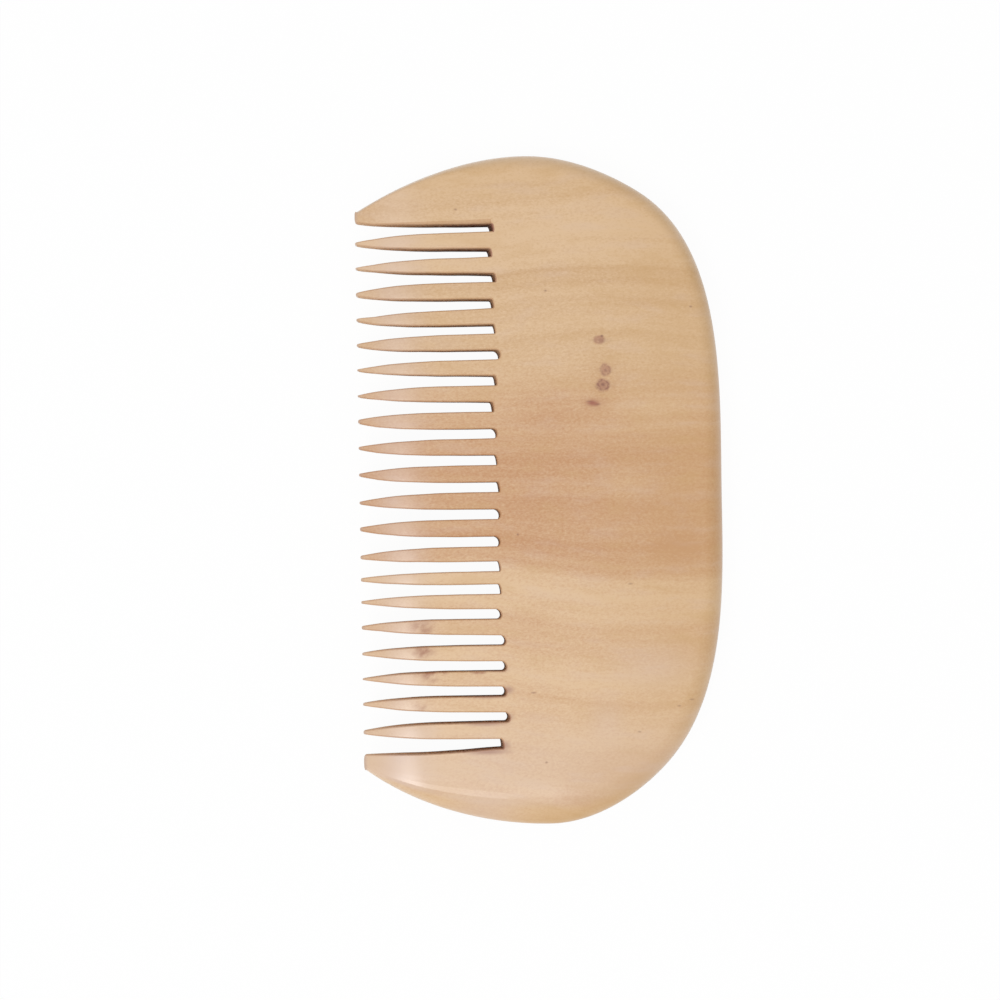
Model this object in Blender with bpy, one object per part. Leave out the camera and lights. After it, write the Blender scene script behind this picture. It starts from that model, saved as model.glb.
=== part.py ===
# Wide tooth comb, sawn and shaped out of one wooden board.
# It lies on its back face. X runs from the tooth tips to the spine, Y runs along the
# spine and Z through the board. The origin is under the middle of the board.
import math
from collections import namedtuple

import bmesh
import bpy
from mathutils import Vector
from mathutils.geometry import interpolate_bezier

# Board, in metres
LENGTH = 0.110
WIDTH = 0.0597
THICKNESS = 0.0085

# Outline: each end has a guard tooth, a crown at its widest point and a shoulder down to the spine
SPINE_CROWN_DROP = 0.0024
UPPER_CROWN_FROM_TIPS = 0.0282
UPPER_SHOULDER_FROM_SPINE = 0.0129
UPPER_SHOULDER_DROP = 0.0061
UPPER_SHOULDER_SLOPE = math.radians(32.7)
UPPER_GUARD_DROP = 0.00835
UPPER_GUARD_SLOPE = math.radians(26.7)
LOWER_CROWN_FROM_TIPS = 0.0306
LOWER_SHOULDER_FROM_SPINE = 0.0103
LOWER_SHOULDER_DROP = 0.0091
LOWER_SHOULDER_SLOPE = math.radians(45.6)
LOWER_GUARD_DROP = 0.0091
LOWER_GUARD_SLOPE = math.radians(36.0)

# Rolled outer edge: how far the rounding reaches in over the face, and the upright band it leaves
ROLL_AT_GUARD = 0.0005
UPPER_ROLL = 0.0032
LOWER_ROLL_AT_CROWN = 0.0040
LOWER_ROLL_AT_SHOULDER = 0.0044
ROLL_AT_SPINE = 0.0024
EDGE_BAND = 0.0024

# Teeth: the hand-set spacing bows a little and has one thin tooth, and some slots are sanded wider
GUARD_SPACE = 0.0112
PITCH = 0.00431
ROW_RISE = 0.00066
SPACING_BOW = 0.00071
BOWED_TEETH = 12
THIN_TOOTH = 13
THIN_TOOTH_LOSS = 0.00127
KERF = 0.00158
SANDED_SLACK = 0.00032
SANDED_SLOTS = 14
UPPER_GUARD_TAPER = 0.00054
LOWER_GUARD_TAPER = 0.00071
UPPER_ROOT_DEPTH = 0.02275
LOWER_ROOT_DEPTH = 0.02365
SAW_WANDER = 0.0003

# One letter for each slot from the upper end: s square and r round, a capital where it is sawn deeper
SLOT_ENDS = "ssSssRssrsSRrssrRRRRs"

# One letter for each tooth from the upper end: set up or down from its place, and its tip leaning up or down
TOOTH_SHIFTS = "-u------------ddd-uu"
TOOTH_LEANS = "-dddd--uuu-u--uUUUU-"
HAND_STEPS = {"d": -1, "-": 0, "u": 1, "U": 2}
SHIFT_STEP = 0.00018
LEAN_STEP = 0.00015

# Tooth points: each tooth narrows to a blunt tip in plan and thins toward it on both faces
TIP_WIDTH = 0.0005
TIP_ROUND = 0.0004
POINT_POWER = 3.1
TIP_THICKNESS = 0.0030
THINNED_LENGTH = 0.0160
NOSE_THICKNESS = 0.0018
NOSE_LENGTH = 0.0012
EASED_EDGE = 0.00035
EASED_TIP = 0.00012

# Fineness of the faceted curves
OUTLINE_STEPS = 14
ROLL_STEPS = 5
FLANK_STEPS = 9
FLANK_CROWDING = 1.5
ROOT_STEPS = 5
TIP_STEPS = 4

WOOD_COLOUR = (0.651, 0.445, 0.283, 1.0)
WOOD_ROUGHNESS = 0.45
SHARP_ANGLE = math.radians(35)

# A point of the plan outline, with the rounding of the board's edge there
EdgePoint = namedtuple("EdgePoint", "u v roll depth steps")


def clear_scene():
    for obj in list(bpy.data.objects):
        bpy.data.objects.remove(obj, do_unlink=True)


def rim_anchors():
    """Anchors of the outer edge: from the tips, up from mid length, roll of the edge, and heading."""
    top = LENGTH / 2
    lower_shoulder = WIDTH - LOWER_SHOULDER_FROM_SPINE
    upper_shoulder = WIDTH - UPPER_SHOULDER_FROM_SPINE
    return [
        (TIP_ROUND, LOWER_GUARD_DROP - top, ROLL_AT_GUARD, -LOWER_GUARD_SLOPE),
        (LOWER_CROWN_FROM_TIPS, -top, LOWER_ROLL_AT_CROWN, 0.0),
        (lower_shoulder, LOWER_SHOULDER_DROP - top, LOWER_ROLL_AT_SHOULDER, LOWER_SHOULDER_SLOPE),
        (WIDTH, -SPINE_CROWN_DROP, ROLL_AT_SPINE, math.pi / 2),
        (upper_shoulder, top - UPPER_SHOULDER_DROP, UPPER_ROLL, math.pi - UPPER_SHOULDER_SLOPE),
        (UPPER_CROWN_FROM_TIPS, top, UPPER_ROLL, math.pi),
        (TIP_ROUND, top - UPPER_GUARD_DROP, ROLL_AT_GUARD, math.pi + UPPER_GUARD_SLOPE),
    ]


def rim():
    """Outer edge, from the lower guard tooth round the spine to the upper one."""
    anchors = rim_anchors()
    path = []
    for start, end in zip(anchors, anchors[1:]):
        a, b = Vector(start[:3]), Vector(end[:3])
        reach = (b - a).length / 3
        leave = a + reach * Vector((math.cos(start[3]), math.sin(start[3]), 0))
        arrive = b - reach * Vector((math.cos(end[3]), math.sin(end[3]), 0))
        path += interpolate_bezier(a, leave, arrive, b, OUTLINE_STEPS + 1)[:-1]
    path.append(b)
    depth = (THICKNESS - EDGE_BAND) / 2
    return [EdgePoint(p.x, p.y, p.z, depth, ROLL_STEPS) for p in path]


def tooth_count():
    """Teeth that fit between the two guard teeth."""
    room = LENGTH - 2 * GUARD_SPACE - KERF + THIN_TOOTH_LOSS
    return int(room / PITCH)


def by_hand(letters, k):
    """How many steps a letter code moves tooth k."""
    return HAND_STEPS[letters[k % len(letters)]]


def tooth_centre(k):
    row = PITCH * (tooth_count() - 1) - THIN_TOOTH_LOSS
    bow = SPACING_BOW * math.sin(math.pi * min(k, BOWED_TEETH) / BOWED_TEETH)
    closed_up = THIN_TOOTH_LOSS * min(max(k + 1 - THIN_TOOTH, 0), 2) / 2
    return ROW_RISE + row / 2 - PITCH * k + bow + closed_up + SHIFT_STEP * by_hand(TOOTH_SHIFTS, k)


def saw_line(j):
    """Middle of slot j, which lies above tooth j."""
    if j == 0:
        return tooth_centre(0) + PITCH / 2
    if j == tooth_count():
        return tooth_centre(j - 1) - PITCH / 2
    return (tooth_centre(j - 1) + tooth_centre(j)) / 2


def slot_end(j):
    """Shape letter, depth and width of slot j."""
    letter = SLOT_ENDS[j % len(SLOT_ENDS)]
    along = j / tooth_count()
    depth = UPPER_ROOT_DEPTH + (LOWER_ROOT_DEPTH - UPPER_ROOT_DEPTH) * along
    wander = SAW_WANDER if letter.isupper() else -SAW_WANDER
    slack = SANDED_SLACK * math.sin(math.pi * min(j, SANDED_SLOTS) / SANDED_SLOTS)
    return letter.lower(), depth + wander, KERF + slack


def tooth_edge(k, half_root, along):
    """Middle and half width of tooth k; along is 0 at its tip and 1 at its root."""
    middle = tooth_centre(k) + LEAN_STEP * by_hand(TOOTH_LEANS, k) * (1 - along) ** 1.5
    half = TIP_WIDTH / 2 + (half_root - TIP_WIDTH / 2) * (1 - (1 - along) ** POINT_POWER)
    return middle, half


def slot_wall(j, side):
    """One wall of slot j from its mouth to its root; side is 1 for the upper wall and -1 for the lower."""
    letter, depth, width = slot_end(j)
    straight = depth - width / 2 if letter == "r" else depth
    root = saw_line(j) + side * width / 2
    tooth = j - 1 if side > 0 else j
    wall = []
    for i in range(FLANK_STEPS + 1):
        u = TIP_ROUND + (straight - TIP_ROUND) * (i / FLANK_STEPS) ** FLANK_CROWDING
        along = min(u / depth, 1)
        ease = EASED_EDGE
        if tooth < 0:
            v = root + UPPER_GUARD_TAPER * (1 - along) ** 2
        elif tooth == tooth_count():
            v = root - LOWER_GUARD_TAPER * (1 - along ** 4) ** 2
        else:
            middle, half = tooth_edge(tooth, abs(root - tooth_centre(tooth)), along)
            v, ease = middle - side * half, min(EASED_EDGE, half / 2)
        wall.append(EdgePoint(u, v, ease, ease, 1))
    return wall


def slot_root(j):
    """Points round the closed end of slot j, between its two walls."""
    letter, depth, width = slot_end(j)
    if letter == "s":
        return []
    radius = width / 2
    root = []
    for i in range(1, ROOT_STEPS):
        turn = math.pi / 2 - math.pi * i / ROOT_STEPS
        u = depth - radius + radius * math.cos(turn)
        v = saw_line(j) + radius * math.sin(turn)
        root.append(EdgePoint(u, v, EASED_EDGE, EASED_EDGE, 1))
    return root


def blunt_tip(top, bottom):
    """Points round a tooth's tip, between the last points of its two flanks."""
    middle, half = (top + bottom) / 2, (top - bottom) / 2
    tip = []
    for i in range(1, TIP_STEPS):
        turn = math.pi / 2 - math.pi * i / TIP_STEPS
        u = TIP_ROUND * (1 - math.cos(turn))
        tip.append(EdgePoint(u, middle + half * math.sin(turn), EASED_TIP, EASED_TIP, 1))
    return tip


def comb_plan():
    """Closed plan outline, counter-clockwise, and the facing stretches of outline on each tooth."""
    outline = rim()
    rim_size = len(outline)
    walls = []
    for j in range(tooth_count() + 1):
        upper, lower = slot_wall(j, 1), slot_wall(j, -1)[::-1]
        outline += blunt_tip(outline[-1].v, upper[0].v)
        walls.append(range(len(outline), len(outline) + len(upper)))
        outline += upper + slot_root(j)
        walls.append(range(len(outline), len(outline) + len(lower))[::-1])
        outline += lower
    outline += blunt_tip(outline[-1].v, outline[0].v)
    facing = list(zip(walls[1:-1:2], walls[2::2]))
    upper_guard = [nearest(outline, i, range(rim_size // 2, rim_size)) for i in walls[0]]
    lower_guard = [nearest(outline, i, range(rim_size // 2)) for i in walls[-1]]
    facing += [(walls[0], upper_guard), (walls[-1], lower_guard)]
    return outline, facing


def nearest(outline, i, candidates):
    """The candidate point that lies level with point i, counted from the tips."""
    return min(candidates, key=lambda c: abs(outline[c].u - outline[i].u))


def thinning(u):
    """Share of the board's thickness that is left at a distance from the tips."""
    toward_tip = max(1 - u / THINNED_LENGTH, 0)
    toward_nose = max(1 - u / NOSE_LENGTH, 0)
    thinned = (THICKNESS - TIP_THICKNESS) * toward_tip ** 2
    rounded = (TIP_THICKNESS - NOSE_THICKNESS) * toward_nose ** 2
    return 1 - (thinned + rounded) / THICKNESS


def inward(before, point, after):
    """Mitred direction into the wood at a point of the outline."""
    arriving = Vector((point.u - before.u, point.v - before.v)).normalized()
    leaving = Vector((after.u - point.u, after.v - point.v)).normalized()
    left_in = Vector((-arriving.y, arriving.x))
    left_out = Vector((-leaving.y, leaving.x))
    return (left_in + left_out) / (1 + left_in.dot(left_out))


def edge_column(bm, point, direction):
    """Vertices up the board's edge at one point, from the rim of the back face to that of the front."""
    half = THICKNESS / 2
    turns = [math.pi / 2 * i / point.steps for i in range(point.steps + 1)]
    profile = [
        (point.roll * (1 - math.cos(a)), half - point.depth + point.depth * math.sin(a)) for a in turns
    ]
    profile = [(inset, -rise) for inset, rise in profile[::-1]] + profile
    column = []
    for inset, rise in profile:
        u = point.u + direction.x * inset
        v = point.v + direction.y * inset
        column.append(bm.verts.new((u - WIDTH / 2, v, half + rise * thinning(u))))
    return column


def make_comb():
    outline, facing = comb_plan()
    bm = bmesh.new()
    count = len(outline)
    columns = [
        edge_column(bm, outline[i], inward(outline[i - 1], outline[i], outline[(i + 1) % count]))
        for i in range(count)
    ]
    for i, column in enumerate(columns):
        following = columns[(i + 1) % count]
        if len(column) != len(following):
            bm.faces.new(following + column[::-1])
            continue
        for k in range(len(column) - 1):
            bm.faces.new((column[k], following[k], following[k + 1], column[k + 1]))
    bm.faces.new([column[-1] for column in columns])
    bm.faces.new([column[0] for column in columns[::-1]])
    for one_side, other_side in facing:
        for a, b in zip(reversed(one_side), reversed(other_side)):
            for level in (0, -1):
                bmesh.ops.connect_verts(bm, verts=[columns[a][level], columns[b][level]])
    mesh = bpy.data.meshes.new("comb")
    bm.to_mesh(mesh)
    bm.free()
    mesh.shade_smooth()
    mesh.set_sharp_from_angle(angle=SHARP_ANGLE)
    return mesh


def wood():
    material = bpy.data.materials.new("wood")
    material.use_nodes = True
    shader = material.node_tree.nodes["Principled BSDF"]
    shader.inputs["Base Color"].default_value = WOOD_COLOUR
    shader.inputs["Roughness"].default_value = WOOD_ROUGHNESS
    shader.inputs["Metallic"].default_value = 0.0
    material.diffuse_color = WOOD_COLOUR
    return material


clear_scene()
comb = bpy.data.objects.new("comb", make_comb())
comb.data.materials.append(wood())
bpy.context.scene.collection.objects.link(comb)
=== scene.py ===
import math
from collections import namedtuple

import bmesh
import bpy
from mathutils import Matrix, Vector, noise
from mathutils.geometry import interpolate_bezier


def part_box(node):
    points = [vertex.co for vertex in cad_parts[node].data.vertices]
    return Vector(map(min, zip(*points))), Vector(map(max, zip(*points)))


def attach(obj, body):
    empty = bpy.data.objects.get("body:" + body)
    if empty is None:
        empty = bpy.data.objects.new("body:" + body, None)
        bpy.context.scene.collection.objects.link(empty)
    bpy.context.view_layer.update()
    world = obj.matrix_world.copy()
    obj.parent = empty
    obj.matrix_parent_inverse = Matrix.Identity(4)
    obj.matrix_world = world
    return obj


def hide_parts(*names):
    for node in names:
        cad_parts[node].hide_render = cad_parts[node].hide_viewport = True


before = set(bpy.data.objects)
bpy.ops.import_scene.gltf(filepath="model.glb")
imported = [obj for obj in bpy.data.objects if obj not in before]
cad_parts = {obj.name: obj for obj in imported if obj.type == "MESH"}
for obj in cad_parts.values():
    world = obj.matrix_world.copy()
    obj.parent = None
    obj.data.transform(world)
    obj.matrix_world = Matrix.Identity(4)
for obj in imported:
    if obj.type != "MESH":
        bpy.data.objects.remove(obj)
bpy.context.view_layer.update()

# Outer edge of the comb: one flat board of pale fruitwood, sawn out with a full, rounded back.
# Each end has a guard tooth, a crown where the board is longest, and a shoulder down to the spine.
# The lower end is bevelled with a crisp crease, and the rest of the edge is rolled over softly.
MM = 0.001
low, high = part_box("comb")
half_thickness = (high.z - low.z) / 2
middle_z = low.z + half_thickness
spine = low.x + 59.7 * MM
tip_round = 0.4 * MM
edge_steps = 40
edge_band = 2.4 * MM
roll_depth = half_thickness - edge_band / 2

# A point of the plan outline: how far the rounding of its edge reaches in over the face and down the wall,
# how steeply it leaves the face, whether the wall is left raw from the saw, how it is darkened by scorching
# and by painted shade, the shares of that left at the rim and on the face, how far a slot's end leans from
# front to back, and how far a wall is dressed back behind
EdgePoint = namedtuple(
    "EdgePoint", "x y reach depth crease raw scorch rim halo lean undercut", defaults=(0, 0, 1, 0, 0, 0)
)

# Anchors from the lower guard tooth round the spine to the upper one: place, reach of the rounding, and
# heading and steepness at the face in degrees
Anchor = namedtuple("Anchor", "x y reach heading steepness")
edge_anchors = [
    Anchor(low.x + tip_round, low.y + 9.3 * MM, 0.6 * MM, -36.0, 20),
    Anchor(low.x + 30.6 * MM, low.y, 4.1 * MM, 0.0, 26),
    Anchor(spine - 10.3 * MM, low.y + 9.1 * MM, 3.2 * MM, 45.6, 3),
    Anchor(spine, -2.4 * MM, 2.7 * MM, 90.0, 4),
    Anchor(spine - 12.9 * MM, high.y - 6.1 * MM, 2.4 * MM, 147.3, 4),
    Anchor(low.x + 28.2 * MM, high.y, 2.4 * MM, 180.0, 4),
    Anchor(low.x + tip_round, high.y - 8.7 * MM, 0.5 * MM, 210.0, 16),
]


def direction(degrees):
    return Vector((math.cos(math.radians(degrees)), math.sin(math.radians(degrees)), 0))


def outer_edge():
    """Outline from the lower guard tooth round the spine to the upper one."""
    path = []
    for start, end in zip(edge_anchors, edge_anchors[1:]):
        a, b = Vector((start.x, start.y, 0)), Vector((end.x, end.y, 0))
        pull = (b - a).length / 3
        leave, arrive = a + pull * direction(start.heading), b - pull * direction(end.heading)
        for i, p in enumerate(interpolate_bezier(a, leave, arrive, b, edge_steps + 1)):
            along = i / edge_steps
            reach = start.reach + (end.reach - start.reach) * math.sin(math.pi / 2 * along)
            steepness = start.steepness + (end.steepness - start.steepness) * along
            if i < edge_steps or end is edge_anchors[-1]:
                path.append(EdgePoint(p.x, p.y, reach, roll_depth, math.tan(math.radians(steepness))))
    return path


# Teeth: sawn along the grain with one blade and pointed on a sander, with the spacing set by eye.
# The upper middle slots are sanded wider, one tooth came out thin, and every tip is a little different.
tooth_count = 20
pitch = 4.31 * MM
row_rise = 0.66 * MM
spacing_bow = 0.71 * MM
bowed_teeth = 12
thin_tooth = 13
thin_tooth_loss = 1.27 * MM
hand_shift = 0.18 * MM
tip_lean = 0.144 * MM
tip_lean_power = 1.5
kerf = 1.58 * MM
sanded_slack = 0.32 * MM
sanded_slots = 14
upper_root_depth = 21.95 * MM
lower_root_depth = 22.85 * MM
run_step = 0.15 * MM
lean_step = 0.1 * MM
lean_length = 2.5 * MM
slot_slant = 0.28 * MM
most_undercut = 0.3 * MM
undercut_start = 3 * MM
undercut_growth = 0.8
undercut_fade = 6
upper_guard_taper = 0.54 * MM
lower_guard_taper = 0.71 * MM
flank_steps = 26
flank_crowding = 1.3
root_steps = 12
tip_steps = 10
point_power = 3.6
root_power = 4
tip_squareness = 2.6
upper_guard_squareness = 3.5
lower_guard_squareness = 3.0
eased_edge = 0.2 * MM
eased_guard = 0.6 * MM
eased_guard_tip = 0.1 * MM
eased_slope = math.tan(math.radians(9))
flank_wobble = 0.06 * MM
wobble_length = 4 * MM
worst_scorch = 9
least_scorch = 0.2
scorch_start = 8 * MM
scorch_length = 9 * MM
scorch_stagger = 4 * MM

# Shares of the scorching and painted shade that are left at the rim and on the face beside it, for a slot's
# walls and its end
upper_rim = 0.3
upper_halo = 0.05
lower_rim = 0.6
lower_halo = 0.45
root_rim = 0.7
root_halo = 0.5

# One letter or figure for each slot from the upper end: its closed end square or round, how much further than
# the shortest it is sawn, how far its end leans back, and how dark its upper and lower walls are made, by the
# saw's scorching and by painted shade
slot_ends = "sssssrssrssrrssrrrrrs"
slot_runs = "526349403244322266580"
slot_leans = "433202221011100112233"
upper_scorch_and_shade = "864311122222222223333"
lower_scorch_and_shade = "222222222222233333445"
end_rounding = {"s": (0.25 * MM, 3.0), "r": (0.7 * MM, 2.0)}

# One letter for each tooth from the upper end: its tip pointed, middling or blunt, then how it is set up or
# down from its place in the row, and how its tip leans
tooth_tips = "mpbmmppbmmmbbbmbmpmb"
tooth_shifts = "-u------------ddd-uu"
tooth_leans = "-dddd--uuu-u--uUUUU-"
tip_widths = {"p": 0.22 * MM, "m": 0.38 * MM, "b": 0.55 * MM}
shift_sizes = {"d": -1, "-": 0, "u": 1, "U": 2}

# One figure for each tooth: how much slimmer its upper and lower flanks are sanded by hand
over_sanded = "22041100100000000000"
under_sanded = "24201330101000121111"
sanding_step = 0.08 * MM
sanding_start = 3 * MM


def tooth_middle(k):
    row = pitch * (tooth_count - 1) - thin_tooth_loss
    bow = spacing_bow * math.sin(math.pi * min(k, bowed_teeth) / bowed_teeth)
    closed_up = thin_tooth_loss * min(max(k + 1 - thin_tooth, 0), 2) / 2
    return row_rise + row / 2 - pitch * k + bow + closed_up + hand_shift * shift_sizes[tooth_shifts[k]]


def saw_line(j):
    """Middle of slot j, which lies above tooth j."""
    if j == 0:
        return tooth_middle(0) + pitch / 2
    if j == tooth_count:
        return tooth_middle(j - 1) - pitch / 2
    return (tooth_middle(j - 1) + tooth_middle(j)) / 2


def slot_width(j):
    return kerf + sanded_slack * math.sin(math.pi * min(j, sanded_slots) / sanded_slots)


def slot_depth(j):
    along = j / tooth_count
    return upper_root_depth + (lower_root_depth - upper_root_depth) * along + run_step * int(slot_runs[j])


def slot_undercut(j):
    """The upper slots are dressed from the back, so their upper walls lean away behind."""
    return most_undercut * min(max((sanded_slots - j) / undercut_fade, 0), 1)


def wall_scorch_and_shade(j, side):
    return int(upper_scorch_and_shade[j] if side > 0 else lower_scorch_and_shade[j]) / worst_scorch


def wall_length(j, side):
    """How far the straight part of a wall runs: the end of the slot is rounded, and sawn on the slant."""
    return slot_depth(j) - end_rounding[slot_ends[j]][0] - side * slot_slant / 2


def blunt_end(steps, squareness):
    """Points round a blunt end from its upper to its lower corner, as shares of its reach and half width."""
    points = []
    for i in range(1, steps):
        turn = math.pi * (0.5 - i / steps)
        across = math.copysign(abs(math.sin(turn)) ** (2 / squareness), turn)
        points.append((math.cos(turn) ** (2 / squareness), across))
    return points


def flank_width(k, side, root, u, to_root):
    """From tooth k's middle to the flank that faces a slot, narrowed to the tip and sanded by hand."""
    half_tip = tip_widths[tooth_tips[k]] / 2
    half_root = abs(root - tooth_middle(k))
    pointed = half_tip + (half_root - half_tip) * (1 - (1 - to_root) ** point_power)
    sanded = sanding_step * int(under_sanded[k] if side > 0 else over_sanded[k])
    return pointed - sanded * min(u / sanding_start, 1) * (1 - to_root ** root_power)


def slot_wall(j, side):
    """One wall of slot j from its mouth to its closed end; side is 1 for the upper wall, -1 for the lower."""
    depth, straight = slot_depth(j), wall_length(j, side)
    root = saw_line(j) + side * slot_width(j) / 2
    tooth = j - 1 if side > 0 else j
    # Odd strides keep every wall on a line of its own in the noise
    burnt_from = scorch_start + scorch_stagger * noise.noise(Vector((j * 5.7, side * 2.3, 0.5)))
    wall = []
    for i in range(flank_steps + 1):
        along = i / flank_steps
        u = tip_round + (straight - tip_round) * along ** flank_crowding
        to_root = min(u / depth, 1)
        hand = noise.noise(Vector((u / wobble_length, j * 7.3, side * 3.1))) * math.sin(math.pi * along)
        burn = min(max((u - burnt_from) / scorch_length, 0), 1)
        scorch = wall_scorch_and_shade(j, side) * (least_scorch + (1 - least_scorch) * burn)
        ease = eased_edge
        if tooth < 0:
            y = root + upper_guard_taper * (1 - to_root) ** 2
            ease = eased_guard_tip + eased_guard * to_root
        elif tooth == tooth_count:
            y = root - lower_guard_taper * (1 - to_root ** root_power) ** 2
        else:
            tilt = tip_lean * shift_sizes[tooth_leans[tooth]] * (1 - to_root) ** tip_lean_power
            half = flank_width(tooth, side, root, u, to_root)
            y = tooth_middle(tooth) + tilt - side * half
            ease = min(eased_edge, half / 2)
        lean = lean_step * int(slot_leans[j]) * max(1 - (depth - u) / lean_length, 0) ** 2
        place = (low.x + u, y + hand * flank_wobble)
        if side > 0:
            undercut = slot_undercut(j) * min(u / undercut_start, 1) * (1 + undercut_growth * (1 - to_root))
            fading = (upper_rim, upper_halo)
            wall.append(EdgePoint(*place, ease, ease, eased_slope, 1, scorch, *fading, lean, undercut))
        else:
            wall.append(EdgePoint(*place, ease, ease, 0, 1, scorch, lower_rim, lower_halo, lean))
    return wall


def slot_root(j):
    """Points round the closed end of slot j, between its two walls."""
    reach, squareness = end_rounding[slot_ends[j]]
    middle, half = slot_depth(j) - reach, slot_width(j) / 2
    scorch, lean = max(wall_scorch_and_shade(j, 1), wall_scorch_and_shade(j, -1)), lean_step * int(slot_leans[j])
    root = []
    for out, across in blunt_end(root_steps, squareness):
        x = low.x + middle + reach * out - slot_slant * across / 2
        y = saw_line(j) + half * across
        upper = max(across, 0) ** 2
        rim = root_rim + (upper_rim - root_rim) * upper
        halo = root_halo + (upper_halo - root_halo) * upper
        undercut = slot_undercut(j) * upper
        root.append(EdgePoint(x, y, eased_edge, eased_edge, 0, 1, scorch, rim, halo, lean, undercut))
    return root


def tooth_tip(top, bottom, squareness):
    """Points round a blunt tip, between the ends of the two edges that run out to it."""
    middle, half = (top.y + bottom.y) / 2, (top.y - bottom.y) / 2
    ease = min(top.reach, bottom.reach, half / 2)
    tip = []
    for out, across in blunt_end(tip_steps, squareness):
        tip.append(EdgePoint(low.x + tip_round * (1 - out), middle + half * across, ease, ease, 0))
    return tip


def comb_outline():
    """The whole plan outline, counter-clockwise."""
    outline = outer_edge()
    for j in range(tooth_count + 1):
        upper, lower = slot_wall(j, 1), slot_wall(j, -1)[::-1]
        squareness = upper_guard_squareness if j == 0 else tip_squareness
        outline += tooth_tip(outline[-1], upper[0], squareness)
        outline += upper + slot_root(j) + lower
    return outline + tooth_tip(outline[-1], outline[0], lower_guard_squareness)


# Board: the faces are planed flat and dip a little beside the bevel, the sawn edges are only eased, and both
# faces are sanded thinner toward the tooth tips. The blade has left the slots' ends leaning.
roll_steps = 8
wall_pull = 0.4
face_pull = 0.6
face_margin = 0.5 * MM
margin_share = 0.35
most_margin_share = 0.8
dip_width = 4.5 * MM
dip_depth = 0.4 * MM
dip_reach = 3 * MM
dip_middle = 0.4
dip_left = 0.2
scorch_left = 1 / 3
crisp_crease = math.tan(math.radians(19.5))
crisp_until = low.x + 24 * MM
full_crease = math.tan(math.radians(30))
end_grain_reach = 1.5 * MM
middle_scorch_and_shade = 0.45
sharp_angle = math.radians(40)
tip_thickness = 2.6 * MM
thinned_length = 10.0 * MM
nose_thickness = 1.6 * MM
nose_length = 1.2 * MM
face_cuts = 40
cut_crowding = 1.2
cut_snap = 0.06 * MM
merge_gap = 0.001 * MM


def inward(before, point, after):
    """Mitred direction into the wood at a point of the outline."""
    arriving = Vector((point.x - before.x, point.y - before.y)).normalized()
    leaving = Vector((after.x - point.x, after.y - point.y)).normalized()
    left_in, left_out = arriving.orthogonal(), leaving.orthogonal()
    return (left_in + left_out) / (1 + left_in.dot(left_out))


def edge_profile(point):
    """Steps up the edge from the middle to the face: inset, height, scorch and painted shade, rawness, end
    grain and shade.
    """
    margin = min(face_margin, margin_share * point.reach) + dip_width * point.crease
    margin = min(margin, most_margin_share * point.reach)
    dip = dip_depth * point.crease * min(point.reach / dip_reach, 1)
    start = Vector((0, half_thickness - point.depth))
    end = Vector((point.reach, half_thickness - dip))
    leave = start + Vector((0, wall_pull * point.depth))
    arrive = end - face_pull * point.reach * Vector((1, point.crease))
    rounding = interpolate_bezier(start, leave, arrive, end, roll_steps + 1)
    # How far the bevel cuts across the grain, which also darkens and yellows it as painted shade
    cut_across_and_shade = min(point.crease / full_crease, 1) * min(point.reach / end_grain_reach, 1)
    steps = [(0, 0, point.scorch, point.raw, cut_across_and_shade)]
    for i, p in enumerate(rounding):
        to_face = i / roll_steps
        fading = point.rim + (point.halo - point.rim) * to_face
        steps.append((p.x, p.y, point.scorch * fading, point.raw / 2, cut_across_and_shade * (1 - to_face ** 2)))
    last_scorch_and_shade = scorch_left * point.scorch * point.halo
    steps.append((point.reach + dip_middle * margin, half_thickness - dip_left * dip, last_scorch_and_shade, 0, 0))
    steps.append((point.reach + margin, half_thickness, 0, 0, 0))
    return steps


def thinning(u):
    """Share of the board's thickness that is left at a distance from the tips."""
    toward_tip = max(1 - u / thinned_length, 0)
    toward_nose = max(1 - u / nose_length, 0)
    thinned = (2 * half_thickness - tip_thickness) * toward_tip ** 2
    rounded = (tip_thickness - nose_thickness) * toward_nose ** 2
    return 1 - (thinned + rounded) / (2 * half_thickness)


outline = comb_outline()
count = len(outline)
bm = bmesh.new()
column = bm.verts.layers.int.new("column")
scorched_and_shaded = bm.verts.layers.float.new("scorched_and_shaded")
raw_wall = bm.verts.layers.float.new("raw_wall")
end_grain_and_shade = bm.verts.layers.float.new("end_grain_and_shade")
# The walls' darkening at the middle of the board is the saw's scorching and painted shade together
for i, point in enumerate(outline):
    corner = bm.verts.new((point.x, point.y, middle_z))
    corner[column] = i
    corner[scorched_and_shaded] = middle_scorch_and_shade * point.scorch
    corner[raw_wall] = point.raw
bm.verts.ensure_lookup_table()
ring = [bm.edges.new((bm.verts[i - 1], bm.verts[i])) for i in range(count)]

# The outline is drawn up ring by ring to the front face, which is cut into strips to be thinned smoothly
inwards = [inward(outline[i - 1], outline[i], outline[(i + 1) % count]) for i in range(count)]
profiles = [edge_profile(point) for point in outline]
for step in range(1, len(profiles[0])):
    grown = bmesh.ops.extrude_edge_only(bm, edges=ring)["geom"]
    ring = [part for part in grown if isinstance(part, bmesh.types.BMEdge)]
    for vert in grown:
        if not isinstance(vert, bmesh.types.BMVert):
            continue
        i = vert[column]
        inset, rise, vert[scorched_and_shaded], vert[raw_wall], vert[end_grain_and_shade] = profiles[i][step]
        vert.co.x = outline[i].x + inwards[i].x * inset
        vert.co.y = outline[i].y + inwards[i].y * inset
        vert.co.z = middle_z + rise
    if step == roll_steps + 1:
        for edge in ring:
            ends = [outline[vert[column]] for vert in edge.verts]
            edge.smooth = any(end.crease < crisp_crease or end.x > crisp_until for end in ends)
face = bmesh.ops.edgeloop_fill(bm, edges=ring)["faces"]
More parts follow.
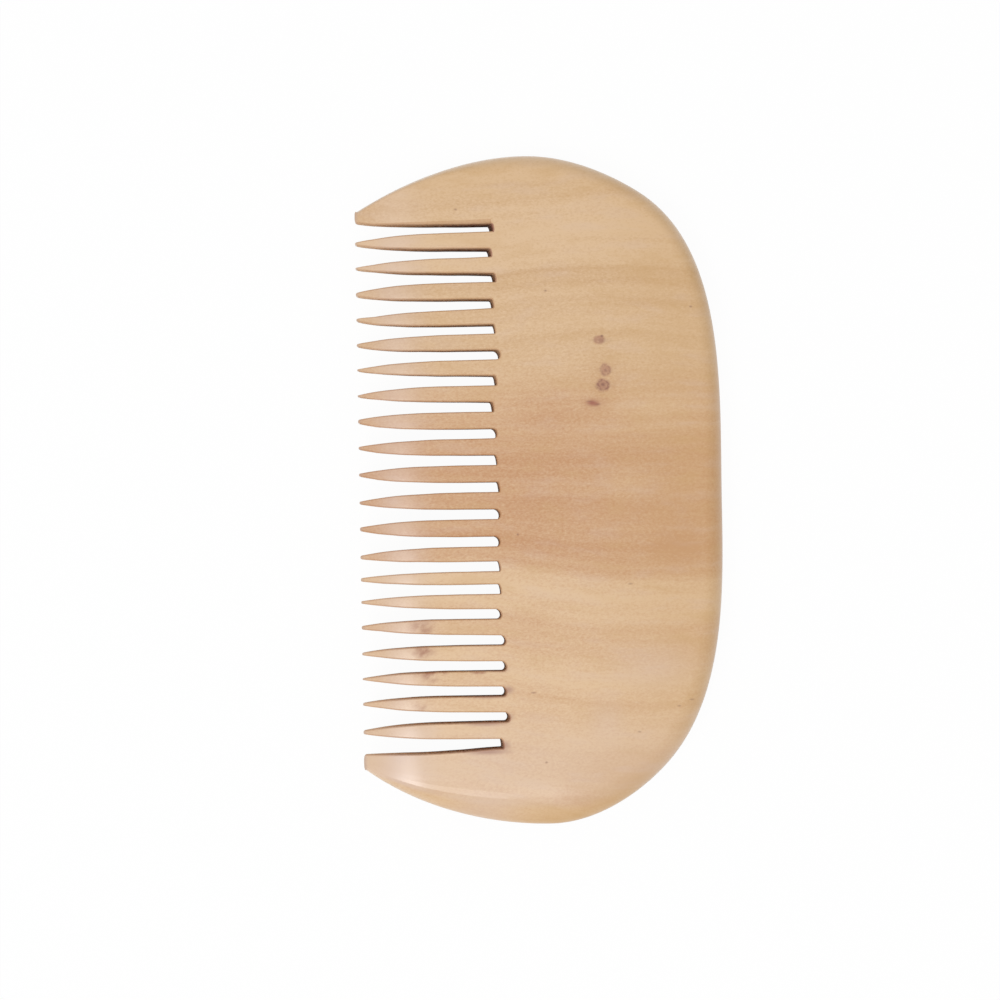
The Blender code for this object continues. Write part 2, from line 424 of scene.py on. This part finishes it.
for i in range(1, face_cuts):
    station = low.x + thinned_length * (i / face_cuts) ** cut_crowding
    flat = {part for f in face for part in (f, *f.edges, *f.verts)}
    cut = bmesh.ops.bisect_plane(
        bm, geom=list(flat), dist=cut_snap, plane_co=(station, 0, 0), plane_no=(1, 0, 0)
    )
    face = [part for part in cut["geom"] if isinstance(part, bmesh.types.BMFace)]
for vert in bm.verts:
    vert.co.z = middle_z + (vert.co.z - middle_z) * thinning(vert.co.x - low.x)
bmesh.ops.mirror(
    bm,
    geom=bm.verts[:] + bm.edges[:] + bm.faces[:],
    matrix=Matrix.Translation((0, 0, -middle_z)),
    merge_dist=merge_gap,
    axis="Z",
)

# Slots lean through the board, and behind, the scorching isn't sanded off their rims: the back half of each
# wall stays fully dark, which also paints the shade deep in the slots
for vert in bm.verts:
    behind = (middle_z + half_thickness - vert.co.z) / (2 * half_thickness)
    vert.co.x -= outline[vert[column]].lean * behind
    vert.co.y -= outline[vert[column]].undercut * (1 - behind)
    if behind > 0.5:
        vert[scorched_and_shaded] = min(vert[scorched_and_shaded] / outline[vert[column]].rim, 1)
bmesh.ops.recalc_face_normals(bm, faces=bm.faces[:])
for part in bm.faces:
    part.smooth = True
for edge in bm.edges:
    edge.smooth = edge.smooth and edge.calc_face_angle(0) < sharp_angle
bm.verts.layers.int.remove(column)
comb_mesh = bpy.data.meshes.new("wooden_comb")
bm.to_mesh(comb_mesh)
bm.free()
wooden_comb = bpy.data.objects.new("wooden_comb", comb_mesh)
bpy.context.scene.collection.objects.link(wooden_comb)


# Wood: pale fruitwood with the grain along the teeth and a reddish heart across the middle, oiled and sanded.
# It has a row of pin knots and a stain over the lower teeth, and the saw has scorched the slots' walls; their
# depths are darkened further with painted shade.
def paint(red, green, blue):
    """A colour as seen on screen, 0 to 255, as the scene-linear colour that a shader takes."""
    shades = [c / 255 for c in (red, green, blue)]
    return [s / 12.92 if s <= 0.04045 else ((s + 0.055) / 1.055) ** 2.4 for s in shades] + [1]


sapwood = paint(224, 189, 148)
heartwood = paint(196, 143, 97)
olive_tan = paint(194, 149, 97)
honey = paint(203, 161, 104)
pale_pink = paint(217, 190, 175)
raw_wood_and_bounce_light = paint(238, 208, 172)
knot_warm = paint(180, 122, 97)
knot_brown = paint(136, 82, 64)
knot_red = paint(160, 92, 68)
fleck_brown = paint(134, 85, 64)
stain_brown = paint(158, 98, 68)
tip_grey = paint(150, 114, 102)
toasted_and_shaded = paint(170, 127, 107)
charred_and_shaded = paint(160, 108, 102)

# Growth bands across the board: place along the spine in millimetres, and how near to heartwood
growth_bands = [
    (-55, 0.05),
    (-46, 0.0),
    (-43, 0.12),
    (-40, 0.02),
    (-36, 0.2),
    (-32.8, 0.25),
    (-30, 0.06),
    (-27.5, 0.26),
    (-25, 0.5),
    (-22, 0.45),
    (-19.5, 0.12),
    (-16, 0.06),
    (-14, 0.2),
    (-12.3, 0.8),
    (-10, 1.0),
    (-3, 0.96),
    (7, 0.97),
    (10, 0.72),
    (14.7, 0.64),
    (18.2, 0.48),
    (21.7, 0.36),
    (24.2, 0.42),
    (27.1, 0.22),
    (29.9, 0.42),
    (32.5, 0.34),
    (36.0, 0.64),
    (37.0, 0.08),
    (42, 0.0),
    (46, 0.06),
    (48.3, 0.36),
    (50.5, 0.1),
]

# Patches and marks start on the front face and reach down into the board, in millimetres
face_height = high.z / MM
patch_depth = 20
mark_depth = 6

# Soft patches that are nearer to heartwood or paler, then yellower and pinker ones: place, half size, amount
patches = [
    ((22.6, -9.8), (8, 5), 0.35),
    ((-3, -4), (9, 14), 0.12),
    ((14, 1), (6, 5), -0.22),
    ((2, 12.5), (11, 6), 0.25),
    ((20, 12.5), (10, 5), -0.28),
    ((-8, -46), (18, 12), 0.15),
    ((-2, 50), (14, 0.8), 0.3),
    ((18, 30), (12, 1.2), 0.25),
    ((12, -36.5), (11, 2), 0.2),
    ((10.5, 18), (5, 9), 0.2),
    ((14, -48), (17, 9), 0.45),
    ((-4, -26), (8, 7), 0.15),
    ((-1, -20.5), (8, 3), 0.2),
    ((-1, -37), (9, 9), 0.14),
    ((-29, 45), (6, 4), 0.45),
    ((5, -50.5), (6.5, 3.5), 0.4),
]
tan_patches = [
    ((13, -48), (15, 8), 0.4),
]
pale_patches = [
    # A painted reflection of the white floor, low on the lower bevel
    ((-10.5, -53), (9, 5), 0.35),
    ((18, -29.5), (12, 6), 0.25),
    ((10, -38), (4.5, 6), 0.2),
]

# Pin knots: place, half size, and how warm and how ringed they are
pin_knots = [
    ((9.95, 24.2), (0.95, 0.75), 0.6, 0.3),
    ((10.9, 19.25), (0.95, 1.1), 0.5, 0.6),
    ((10.45, 16.75), (1.1, 1.05), 0.6, 0.95),
]

# Small marks: the red one below the knots, flecks, stains and dark marks by the lower slots, with place, half
# size and strength
red_marks = [
    ((8.6, 13.85), (1.4, 0.75), 1.0),
    ((9.2, 13.6), (1.1, 0.6), 0.6),
    ((8.9, 13.8), (3.2, 1.6), 0.25),
]
flecks = [
    ((10.4, 24.8), (0.4, 0.32), 0.9),
    ((10.4, 24.1), (0.8, 0.9), 0.3),
    ((10.45, 16.85), (0.5, 0.45), 0.8),
    ((10.2, 24.1), (2.6, 0.7), 0.25),
    ((10.9, 19.2), (2.4, 0.9), 0.15),
    ((10.5, 16.7), (2.8, 1.0), 0.2),
    ((8.2, 14.1), (0.9, 0.2), 0.5),
    ((9.5, 13.6), (0.7, 0.22), 0.6),
    ((-13.2, 46.0), (0.4, 0.3), 0.6),
    ((1.3, 32.4), (0.4, 0.3), 0.6),
    ((25.1, 29.4), (0.4, 0.3), 0.6),
    ((-4.0, -7.5), (0.3, 0.3), 0.7),
    ((14.3, -15.9), (0.6, 0.25), 0.5),
    ((-1.9, -33.4), (0.7, 0.25), 0.6),
    ((21.9, -36.0), (0.5, 0.25), 0.5),
    ((24.0, -35.0), (0.7, 0.25), 0.5),
    ((15.3, -40.1), (0.5, 0.25), 0.5),
    ((0.0, -44.8), (0.4, 0.3), 0.6),
]
stains = [
    ((-20.2, -22.2), (3.2, 1.8), 0.6),
    ((-19.3, -22.9), (1.6, 1.1), 0.5),
    ((-19.8, -26.3), (2.8, 1.5), 0.9),
    ((-20.3, -26.9), (1.4, 0.9), 0.5),
    ((-19.0, -29.9), (3.6, 1.0), 1.0),
    ((-18.5, -30.6), (2.0, 1.2), 0.8),
    ((-16.8, -29.9), (1.4, 0.6), 0.9),
    ((-20.5, -35.4), (1.6, 1.0), 0.6),
    ((-10.8, -30.0), (1.8, 0.4), 1.0),
    ((-17.2, -42.8), (0.7, 0.5), 1.0),
]
dark_slot_marks = [
    ((-9.6, -42.9), (5.5, 0.7), 0.9),
    ((-6.9, -41.9), (1.6, 1.2), 0.8),
    ((-9.8, -38.3), (5.5, 0.65), 0.8),
    ((-6.3, -37.3), (1.6, 1.1), 0.8),
    ((-9.4, -33.9), (4.5, 0.6), 0.7),
    ((-6.1, -32.9), (1.5, 1.1), 0.8),
    ((-7.2, -29.6), (2.0, 0.7), 0.6),
]


def add_node(tree, kind, inputs=(), **options):
    """Adds a shader node, sets its options, and fills its inputs with values or other nodes' outputs."""
    made = tree.nodes.new("ShaderNode" + kind)
    made.location.x = 180 * len(tree.nodes)
    for name, value in options.items():
        setattr(made, name, value)
    for name, value in dict(inputs).items():
        if isinstance(value, bpy.types.NodeSocket):
            tree.links.new(value, made.inputs[name])
        else:
            made.inputs[name].default_value = value
    return made


def calc(tree, operation, *values):
    return add_node(tree, "Math", enumerate(values), operation=operation).outputs[0]


def blend(tree, amount, base, colour):
    mix = add_node(tree, "Mix", {0: amount, 6: base, 7: colour}, data_type="RGBA")
    return mix.outputs[2]


def spread(tree, value, start, end, to_low=0.0, to_high=1.0):
    """Maps a value between two limits smoothly onto another range."""
    inputs = {0: value, 1: start, 2: end, 3: to_low, 4: to_high}
    return add_node(tree, "MapRange", inputs, interpolation_type="SMOOTHSTEP").outputs[0]


def grain_noise(tree, place, size, detail=3.0, turn=0.0):
    """Noise of a given size in millimetres along X, Y and Z, which may be turned in the board's plane."""
    inputs = {"Vector": place, "Scale": size, "Rotation": (0, 0, turn)}
    drawn = add_node(tree, "Mapping", inputs, vector_type="TEXTURE")
    inputs = {"Vector": drawn.outputs[0], "Scale": 1.0, "Detail": detail}
    return add_node(tree, "TexNoise", inputs).outputs["Fac"]


def sway(tree, value, amount):
    """Noise between 0 and 1 made to sway that much to either side of nothing."""
    return calc(tree, "MULTIPLY_ADD", value, 2 * amount, -amount)


def fill_ramp(ramp, stops):
    """Sets a ramp's stops, given as (position, shade) in rising order."""
    elements = ramp.color_ramp.elements
    while len(elements) < len(stops):
        elements.new(1.0)
    for element, (at, shade) in zip(elements, stops):
        element.position = at
        element.color = (shade, shade, shade, 1)


def mark_group(name):
    """A node group with the place and half size of a mark, and how far out of its middle a point lies."""
    group = bpy.data.node_groups.new(name, "ShaderNodeTree")
    for socket in ("Position", "Centre", "Size"):
        group.interface.new_socket(socket, in_out="INPUT", socket_type="NodeSocketVector")
    group.interface.new_socket("Mark", in_out="OUTPUT", socket_type="NodeSocketFloat")
    start, end = group.nodes.new("NodeGroupInput"), group.nodes.new("NodeGroupOutput")
    position, centre, size = start.outputs[:3]
    away = add_node(group, "VectorMath", {0: position, 1: centre}, operation="SUBTRACT")
    share = add_node(group, "VectorMath", {0: away.outputs[0], 1: size}, operation="DIVIDE")
    length = add_node(group, "VectorMath", {0: share.outputs[0]}, operation="LENGTH")
    return group, position, length.outputs["Value"], end.inputs["Mark"]


def pin_knot_group():
    """Darkness of one pin knot out to twice its half size: a dark heart, a paler ring and a scarred rim."""
    group, position, length, mark = mark_group("pin_knot")
    rough = sway(group, grain_noise(group, position, (0.6, 0.6, 8.0)), 0.5)
    reach = calc(group, "MULTIPLY", calc(group, "ADD", length, rough), 0.5)
    ramp = add_node(group, "ValToRGB", {0: reach})
    fill_ramp(ramp, [(0, 1.0), (0.09, 0.85), (0.18, 0.25), (0.27, 0.3), (0.37, 0.9), (0.46, 0.4), (0.6, 0)])
    torn = spread(group, grain_noise(group, position, (0.9, 0.7, 8.0), 2.0), 0.38, 0.6, 0.5, 1)
    group.links.new(calc(group, "MULTIPLY", ramp.outputs[0], torn), mark)
    return group


def soft_spot_group():
    """A soft-edged oval patch: 1 at its centre and 0 at its size."""
    group, position, length, mark = mark_group("soft_spot")
    group.links.new(spread(group, length, 1.0, 0.0), mark)
    return group


def place_mark(tree, group, position, centre, size, depth):
    """Puts a mark of some half size and depth on the front face, and gives how strongly it shows."""
    inputs = {"Position": position, "Centre": (*centre, face_height), "Size": (*size, depth)}
    return add_node(tree, "Group", inputs, node_tree=group).outputs["Mark"]


pin_knot = pin_knot_group()
soft_spot = soft_spot_group()


def add_patches(tree, value, position, spots):
    """Adds soft patches, each by its own amount, to a value that changes over the board."""
    for centre, size, amount in spots:
        patch = place_mark(tree, soft_spot, position, centre, size, patch_depth)
        value = calc(tree, "MULTIPLY_ADD", patch, amount, value)
    return value


def paint_marks(tree, colour, position, marks, shade, mask=1.0):
    """Paints soft marks over a colour, each at its own strength and where the mask lets it through."""
    for centre, size, strength in marks:
        mark = calc(tree, "MULTIPLY", place_mark(tree, soft_spot, position, centre, size, mark_depth), mask)
        colour = blend(tree, calc(tree, "MULTIPLY", mark, strength), colour, shade)
    return colour


wood = bpy.data.materials.new("comb_wood")
wood.use_nodes = True
tree = wood.node_tree
shader = tree.nodes["Principled BSDF"]
coordinates = add_node(tree, "TexCoord")
millimetres = add_node(
    tree, "Mapping", {"Vector": coordinates.outputs["Object"], "Scale": (1 / MM, 1 / MM, 1 / MM)}
).outputs[0]
axes = add_node(tree, "SeparateXYZ", {0: millimetres})
x, y, z = axes.outputs

# Bands arch in the upper half, fall toward the spine in the lower half, wander, and slope through the board
arch_start = -6.0
arch_crown = 11.0
arch_curve = 0.005
fall_start = -12.0
fall_crown = 21.0
fall_curve = -0.0032
fall_shift = 1.7
band_wander = 1.6
band_slope = 0.25
board_length = (high.y - low.y) / MM
from_arch = calc(tree, "SUBTRACT", calc(tree, "MAXIMUM", x, arch_start), arch_crown)
bend = spread(tree, y, 0, 35, 0, arch_curve)
arch = calc(tree, "MULTIPLY", calc(tree, "MULTIPLY", from_arch, from_arch), bend)
from_fall = calc(tree, "SUBTRACT", calc(tree, "MAXIMUM", x, fall_start), fall_crown)
drop = calc(tree, "MULTIPLY_ADD", calc(tree, "MULTIPLY", from_fall, from_fall), fall_curve, fall_shift)
fall = calc(tree, "MULTIPLY", drop, spread(tree, y, 3, -12))
wander = sway(tree, grain_noise(tree, millimetres, (33, 14, 20), 2.0), band_wander)
slope = calc(tree, "MULTIPLY_ADD", z, band_slope, -band_slope * face_height)
band_place = calc(tree, "ADD", calc(tree, "ADD", y, arch), calc(tree, "ADD", fall, wander))
band_place = calc(tree, "ADD", band_place, slope)
bands = add_node(tree, "ValToRGB", {0: calc(tree, "MULTIPLY_ADD", band_place, 1 / board_length, 0.5)})
bands.color_ramp.interpolation = "EASE"
fill_ramp(bands, [(0.5 + at / board_length, tone) for at, tone in growth_bands])
tone = bands.outputs[0]

# Streaks along the bands, fibres, mottle and pores in the grain, darker toward the spine and on the bevel's
# end grain, which also paints the bevel's shade
spine_darker = 0.06
end_grain_and_shade_darker = 0.22
tone_strength = 0.75
along_bands = add_node(tree, "CombineXYZ", {0: x, 1: band_place, 2: z}).outputs[0]
streaks = grain_noise(tree, along_bands, (60, 1.3, 6), 4.0)
fibres = grain_noise(tree, millimetres, (8, 0.33, 0.33))
mottle = grain_noise(tree, millimetres, (0.6, 0.45, 0.5))
pores = grain_noise(tree, millimetres, (0.4, 0.2, 0.3), 1.0)
for figure, amount in ((streaks, 0.4), (fibres, 0.12), (mottle, 0.5), (pores, 0.55)):
    tone = calc(tree, "ADD", tone, sway(tree, figure, amount))
tone = calc(tree, "ADD", tone, spread(tree, x, 13, 27, 0, spine_darker))
across_grain_and_shade = add_node(tree, "Attribute", attribute_name="end_grain_and_shade").outputs["Fac"]
tone = calc(tree, "MULTIPLY_ADD", across_grain_and_shade, end_grain_and_shade_darker, tone)
tone = add_patches(tree, tone, millimetres, patches)
darker = blend(tree, spread(tree, y, 13, 24), heartwood, olive_tan)
colour = blend(tree, calc(tree, "MULTIPLY", tone, tone_strength), sapwood, darker)

# Yellower toward the spine, the upper end and on the bevel's end grain, which also paints the bevel's shade;
# pinker toward the tips, as wear and as painted sheen, and toward the lower end, with a painted floor
# reflection low on the bevel
spine_yellow = 0.32
upper_yellow = 0.22
cloud_yellow = 0.25
worn_pink_and_sheen = 0.45
cloud_pink = 0.15
lower_pink = 0.25
clouds = grain_noise(tree, along_bands, (7.0, 2.0, 6), 2.0)
yellow = calc(tree, "ADD", spread(tree, x, 2, 26, 0, spine_yellow), spread(tree, y, 46, 50, 0, upper_yellow))
yellow = calc(tree, "ADD", yellow, spread(tree, clouds, 0.5, 0.75, 0, cloud_yellow))
yellow = calc(tree, "MULTIPLY_ADD", across_grain_and_shade, spread(tree, x, -8, 4, 0.3, 1.1), yellow)
yellow = add_patches(tree, yellow, millimetres, tan_patches)
colour = blend(tree, yellow, colour, honey)
from_tips = calc(tree, "SUBTRACT", x, low.x / MM)
# Paler and pinker where the tips are sanded thin, as wear and as painted sheen
worn_and_sheen = spread(tree, from_tips, 14, 5, 0, worn_pink_and_sheen)
worn_and_sheen = calc(tree, "MULTIPLY", worn_and_sheen, spread(tree, from_tips, 1, 6, 0.4, 1))
worn_and_sheen = calc(tree, "MULTIPLY", worn_and_sheen, spread(tree, y, 40, 44, 1, 0.5))
pink = calc(tree, "ADD", worn_and_sheen, spread(tree, clouds, 0.5, 0.25, 0, cloud_pink))
pink = calc(tree, "ADD", pink, spread(tree, y, -34, -46, 0, lower_pink))
pink = calc(tree, "MULTIPLY", pink, spread(tree, across_grain_and_shade, 0.1, 0.4, 1, 0.1))
pink = add_patches(tree, pink, millimetres, pale_patches)
colour = blend(tree, pink, colour, pale_pink)

# Pin knots on warm spots, flecks, the broken stain over the lower teeth, and dark marks along the lower slots
warm_spot_size = 1.4
for centre, size, warmth, rings in pin_knots:
    wide = [warm_spot_size * reach for reach in size]
    warm = place_mark(tree, soft_spot, millimetres, centre, wide, warm_spot_size * mark_depth)
    warm = calc(tree, "MULTIPLY", warm, spread(tree, mottle, 0.3, 0.6, 0.6, 1.6))
    colour = blend(tree, spread(tree, warm, 0, 0.9, 0, warmth), colour, knot_warm)
    knot = place_mark(tree, pin_knot, millimetres, centre, size, mark_depth)
    colour = blend(tree, calc(tree, "MULTIPLY", knot, rings), colour, knot_brown)
colour = paint_marks(tree, colour, millimetres, red_marks, knot_red)
colour = paint_marks(tree, colour, millimetres, flecks, fleck_brown)
broken = spread(tree, grain_noise(tree, millimetres, (1.6, 1.0, 2), 3.0, math.radians(40)), 0.25, 0.65)
colour = paint_marks(tree, colour, millimetres, stains, stain_brown, broken)
colour = paint_marks(tree, colour, millimetres, dark_slot_marks, toasted_and_shaded)

# Tips greyer toward their ends, and slot walls raw from the saw, toasted and charred with a ragged limit
tip_greying = 0.35
rim_toast_and_shade = 0.3
wall_paleness = 0.8
colour = blend(tree, spread(tree, from_tips, 0.7, 0.1, 0, tip_greying), colour, tip_grey)
raw = add_node(tree, "Attribute", attribute_name="raw_wall").outputs["Fac"]
# The slots' eased edges browned, as light toasting and as painted shade
colour = blend(tree, spread(tree, raw, 0.1, 0.5, 0, rim_toast_and_shade), colour, toasted_and_shaded)
# Slot walls made paler, as raw sawn wood and as painted light bounced up into the slots
colour = blend(tree, spread(tree, raw, 0.5, 1, 0, wall_paleness), colour, raw_wood_and_bounce_light)
# Toasted and charred where the saw scorched the walls, and as painted shade where the walls lie deep in the
# slots
burnt_and_shaded = add_node(tree, "Attribute", attribute_name="scorched_and_shaded").outputs["Fac"]
ragged = sway(tree, grain_noise(tree, millimetres, (0.7, 0.6, 2)), 1.0)
scorch = calc(tree, "MULTIPLY_ADD", ragged, burnt_and_shaded, burnt_and_shaded)
colour = blend(tree, spread(tree, scorch, 0.08, 0.5), colour, toasted_and_shaded)
colour = blend(tree, spread(tree, scorch, 0.45, 0.9), colour, charred_and_shaded)
tree.links.new(colour, shader.inputs["Base Color"])

# Satin from oil and handling, but bare in the slots, with fibres and the sander's slanting scratches
oiled_roughness = 0.4
bare_roughness = 0.9
relief_depth = 0.05 * MM
tree.links.new(spread(tree, raw, 0.5, 0), shader.inputs["Coat Weight"])
shader.inputs["Coat Roughness"].default_value = 0.34
shader.inputs["Coat IOR"].default_value = 1.7
shader.inputs["Specular IOR Level"].default_value = 0.1
tree.links.new(spread(tree, raw, 0, 0.5, oiled_roughness, bare_roughness), shader.inputs["Roughness"])
scratches = grain_noise(tree, millimetres, (5, 0.25, 5), 2.0, math.radians(60))
scratches = calc(tree, "MULTIPLY", scratches, spread(tree, from_tips, 20, 8))
height = calc(tree, "ADD", fibres, scratches)
relief = add_node(tree, "Bump", {"Strength": 0.15, "Distance": relief_depth, "Height": height})
tree.links.new(relief.outputs[0], shader.inputs["Normal"])
comb_mesh.materials.append(wood)

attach(wooden_comb, "root")
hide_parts("comb")

# Floor: a plain white sheet that the comb lies on.
# It shows white to the camera and keeps a faint shadow of the comb.
floor_size = 1.5
floor_drop = 0.05 * MM
floor_white = 0.9
floor_glow_share = 0.96

bm = bmesh.new()
bmesh.ops.create_grid(bm, x_segments=1, y_segments=1, size=floor_size)
bmesh.ops.translate(bm, verts=bm.verts[:], vec=(0, 0, low.z - floor_drop))
floor_mesh = bpy.data.meshes.new("floor")
bm.to_mesh(floor_mesh)
bm.free()
floor = bpy.data.objects.new("floor", floor_mesh)
bpy.context.scene.collection.objects.link(floor)


def seen_directly(tree):
    """1 for rays that look straight at a surface or see it mirrored or through glass."""
    rays = add_node(tree, "LightPath").outputs
    direct = calc(tree, "MAXIMUM", rays["Is Camera Ray"], rays["Is Glossy Ray"])
    return calc(tree, "MAXIMUM", direct, rays["Is Transmission Ray"])


white_sheet = bpy.data.materials.new("white_sheet")
white_sheet.use_nodes = True
tree = white_sheet.node_tree
tree.nodes.remove(tree.nodes["Principled BSDF"])
matt = add_node(tree, "BsdfDiffuse", {"Color": (floor_white, floor_white, floor_white, 1)})
glow = add_node(tree, "Emission", {"Color": (1, 1, 1, 1), "Strength": 1.0})
glow_share = calc(tree, "MULTIPLY", seen_directly(tree), floor_glow_share)
sheet_look = add_node(tree, "MixShader", {0: glow_share, 1: matt.outputs[0], 2: glow.outputs[0]})
tree.links.new(sheet_look.outputs[0], tree.nodes["Material Output"].inputs["Surface"])
floor_mesh.materials.append(white_sheet)

# Light: a white studio all round, and one large soft lamp high up on the tooth side.
# The lamp's energy is worked out from its distance, to light a white sheet under it to a set share of white.
studio_fill = 0.64
lamp_share = 0.36
lamp_place = Vector((-0.36, -0.36, 1.06))
lamp_size = 0.5

studio = bpy.data.worlds.new("white_studio")
bpy.context.scene.world = studio
studio.use_nodes = True
backdrop = studio.node_tree.nodes["Background"]
backdrop.inputs["Color"].default_value = (1, 1, 1, 1)
backdrop.inputs["Strength"].default_value = studio_fill

lamp_data = bpy.data.lights.new("soft_lamp", "AREA")
lamp_data.size = lamp_size
lamp_data.energy = lamp_share * math.pi ** 2 * lamp_place.length ** 3 / lamp_place.z
lamp = bpy.data.objects.new("soft_lamp", lamp_data)
lamp.location = lamp_place
lamp.rotation_euler = (-lamp_place).to_track_quat("-Z", "Y").to_euler()
bpy.context.scene.collection.objects.link(lamp)

# Camera: straight above the comb at half a metre, a little toward the teeth and the lower end.
# It has a long lens, and a roll of about a degree sets the comb a little askew.
camera_place = Vector((-18.45, -17.0, 525.25)) * MM
camera_aim = Vector((-6.702, -1.680, 4.25)) * MM
camera_roll = math.radians(-1.0808)
camera_lens = 113.76
camera_sensor = 36
camera_clip = 0.01

camera_data = bpy.data.cameras.new("camera")
camera_data.sensor_width = camera_sensor
camera_data.lens = camera_lens
camera_data.clip_start = camera_clip
forward = (camera_aim - camera_place).normalized()
level = forward.cross(Vector((0, 1, 0))).normalized()
right = math.cos(camera_roll) * level + math.sin(camera_roll) * level.cross(forward)
turned = Matrix((right, right.cross(forward), -forward)).transposed().to_4x4()
camera = bpy.data.objects.new("camera", camera_data)
camera.matrix_world = Matrix.Translation(camera_place) @ turned
bpy.context.scene.collection.objects.link(camera)
bpy.context.scene.camera = camera
bpy.context.scene.view_settings.view_transform = "Standard"
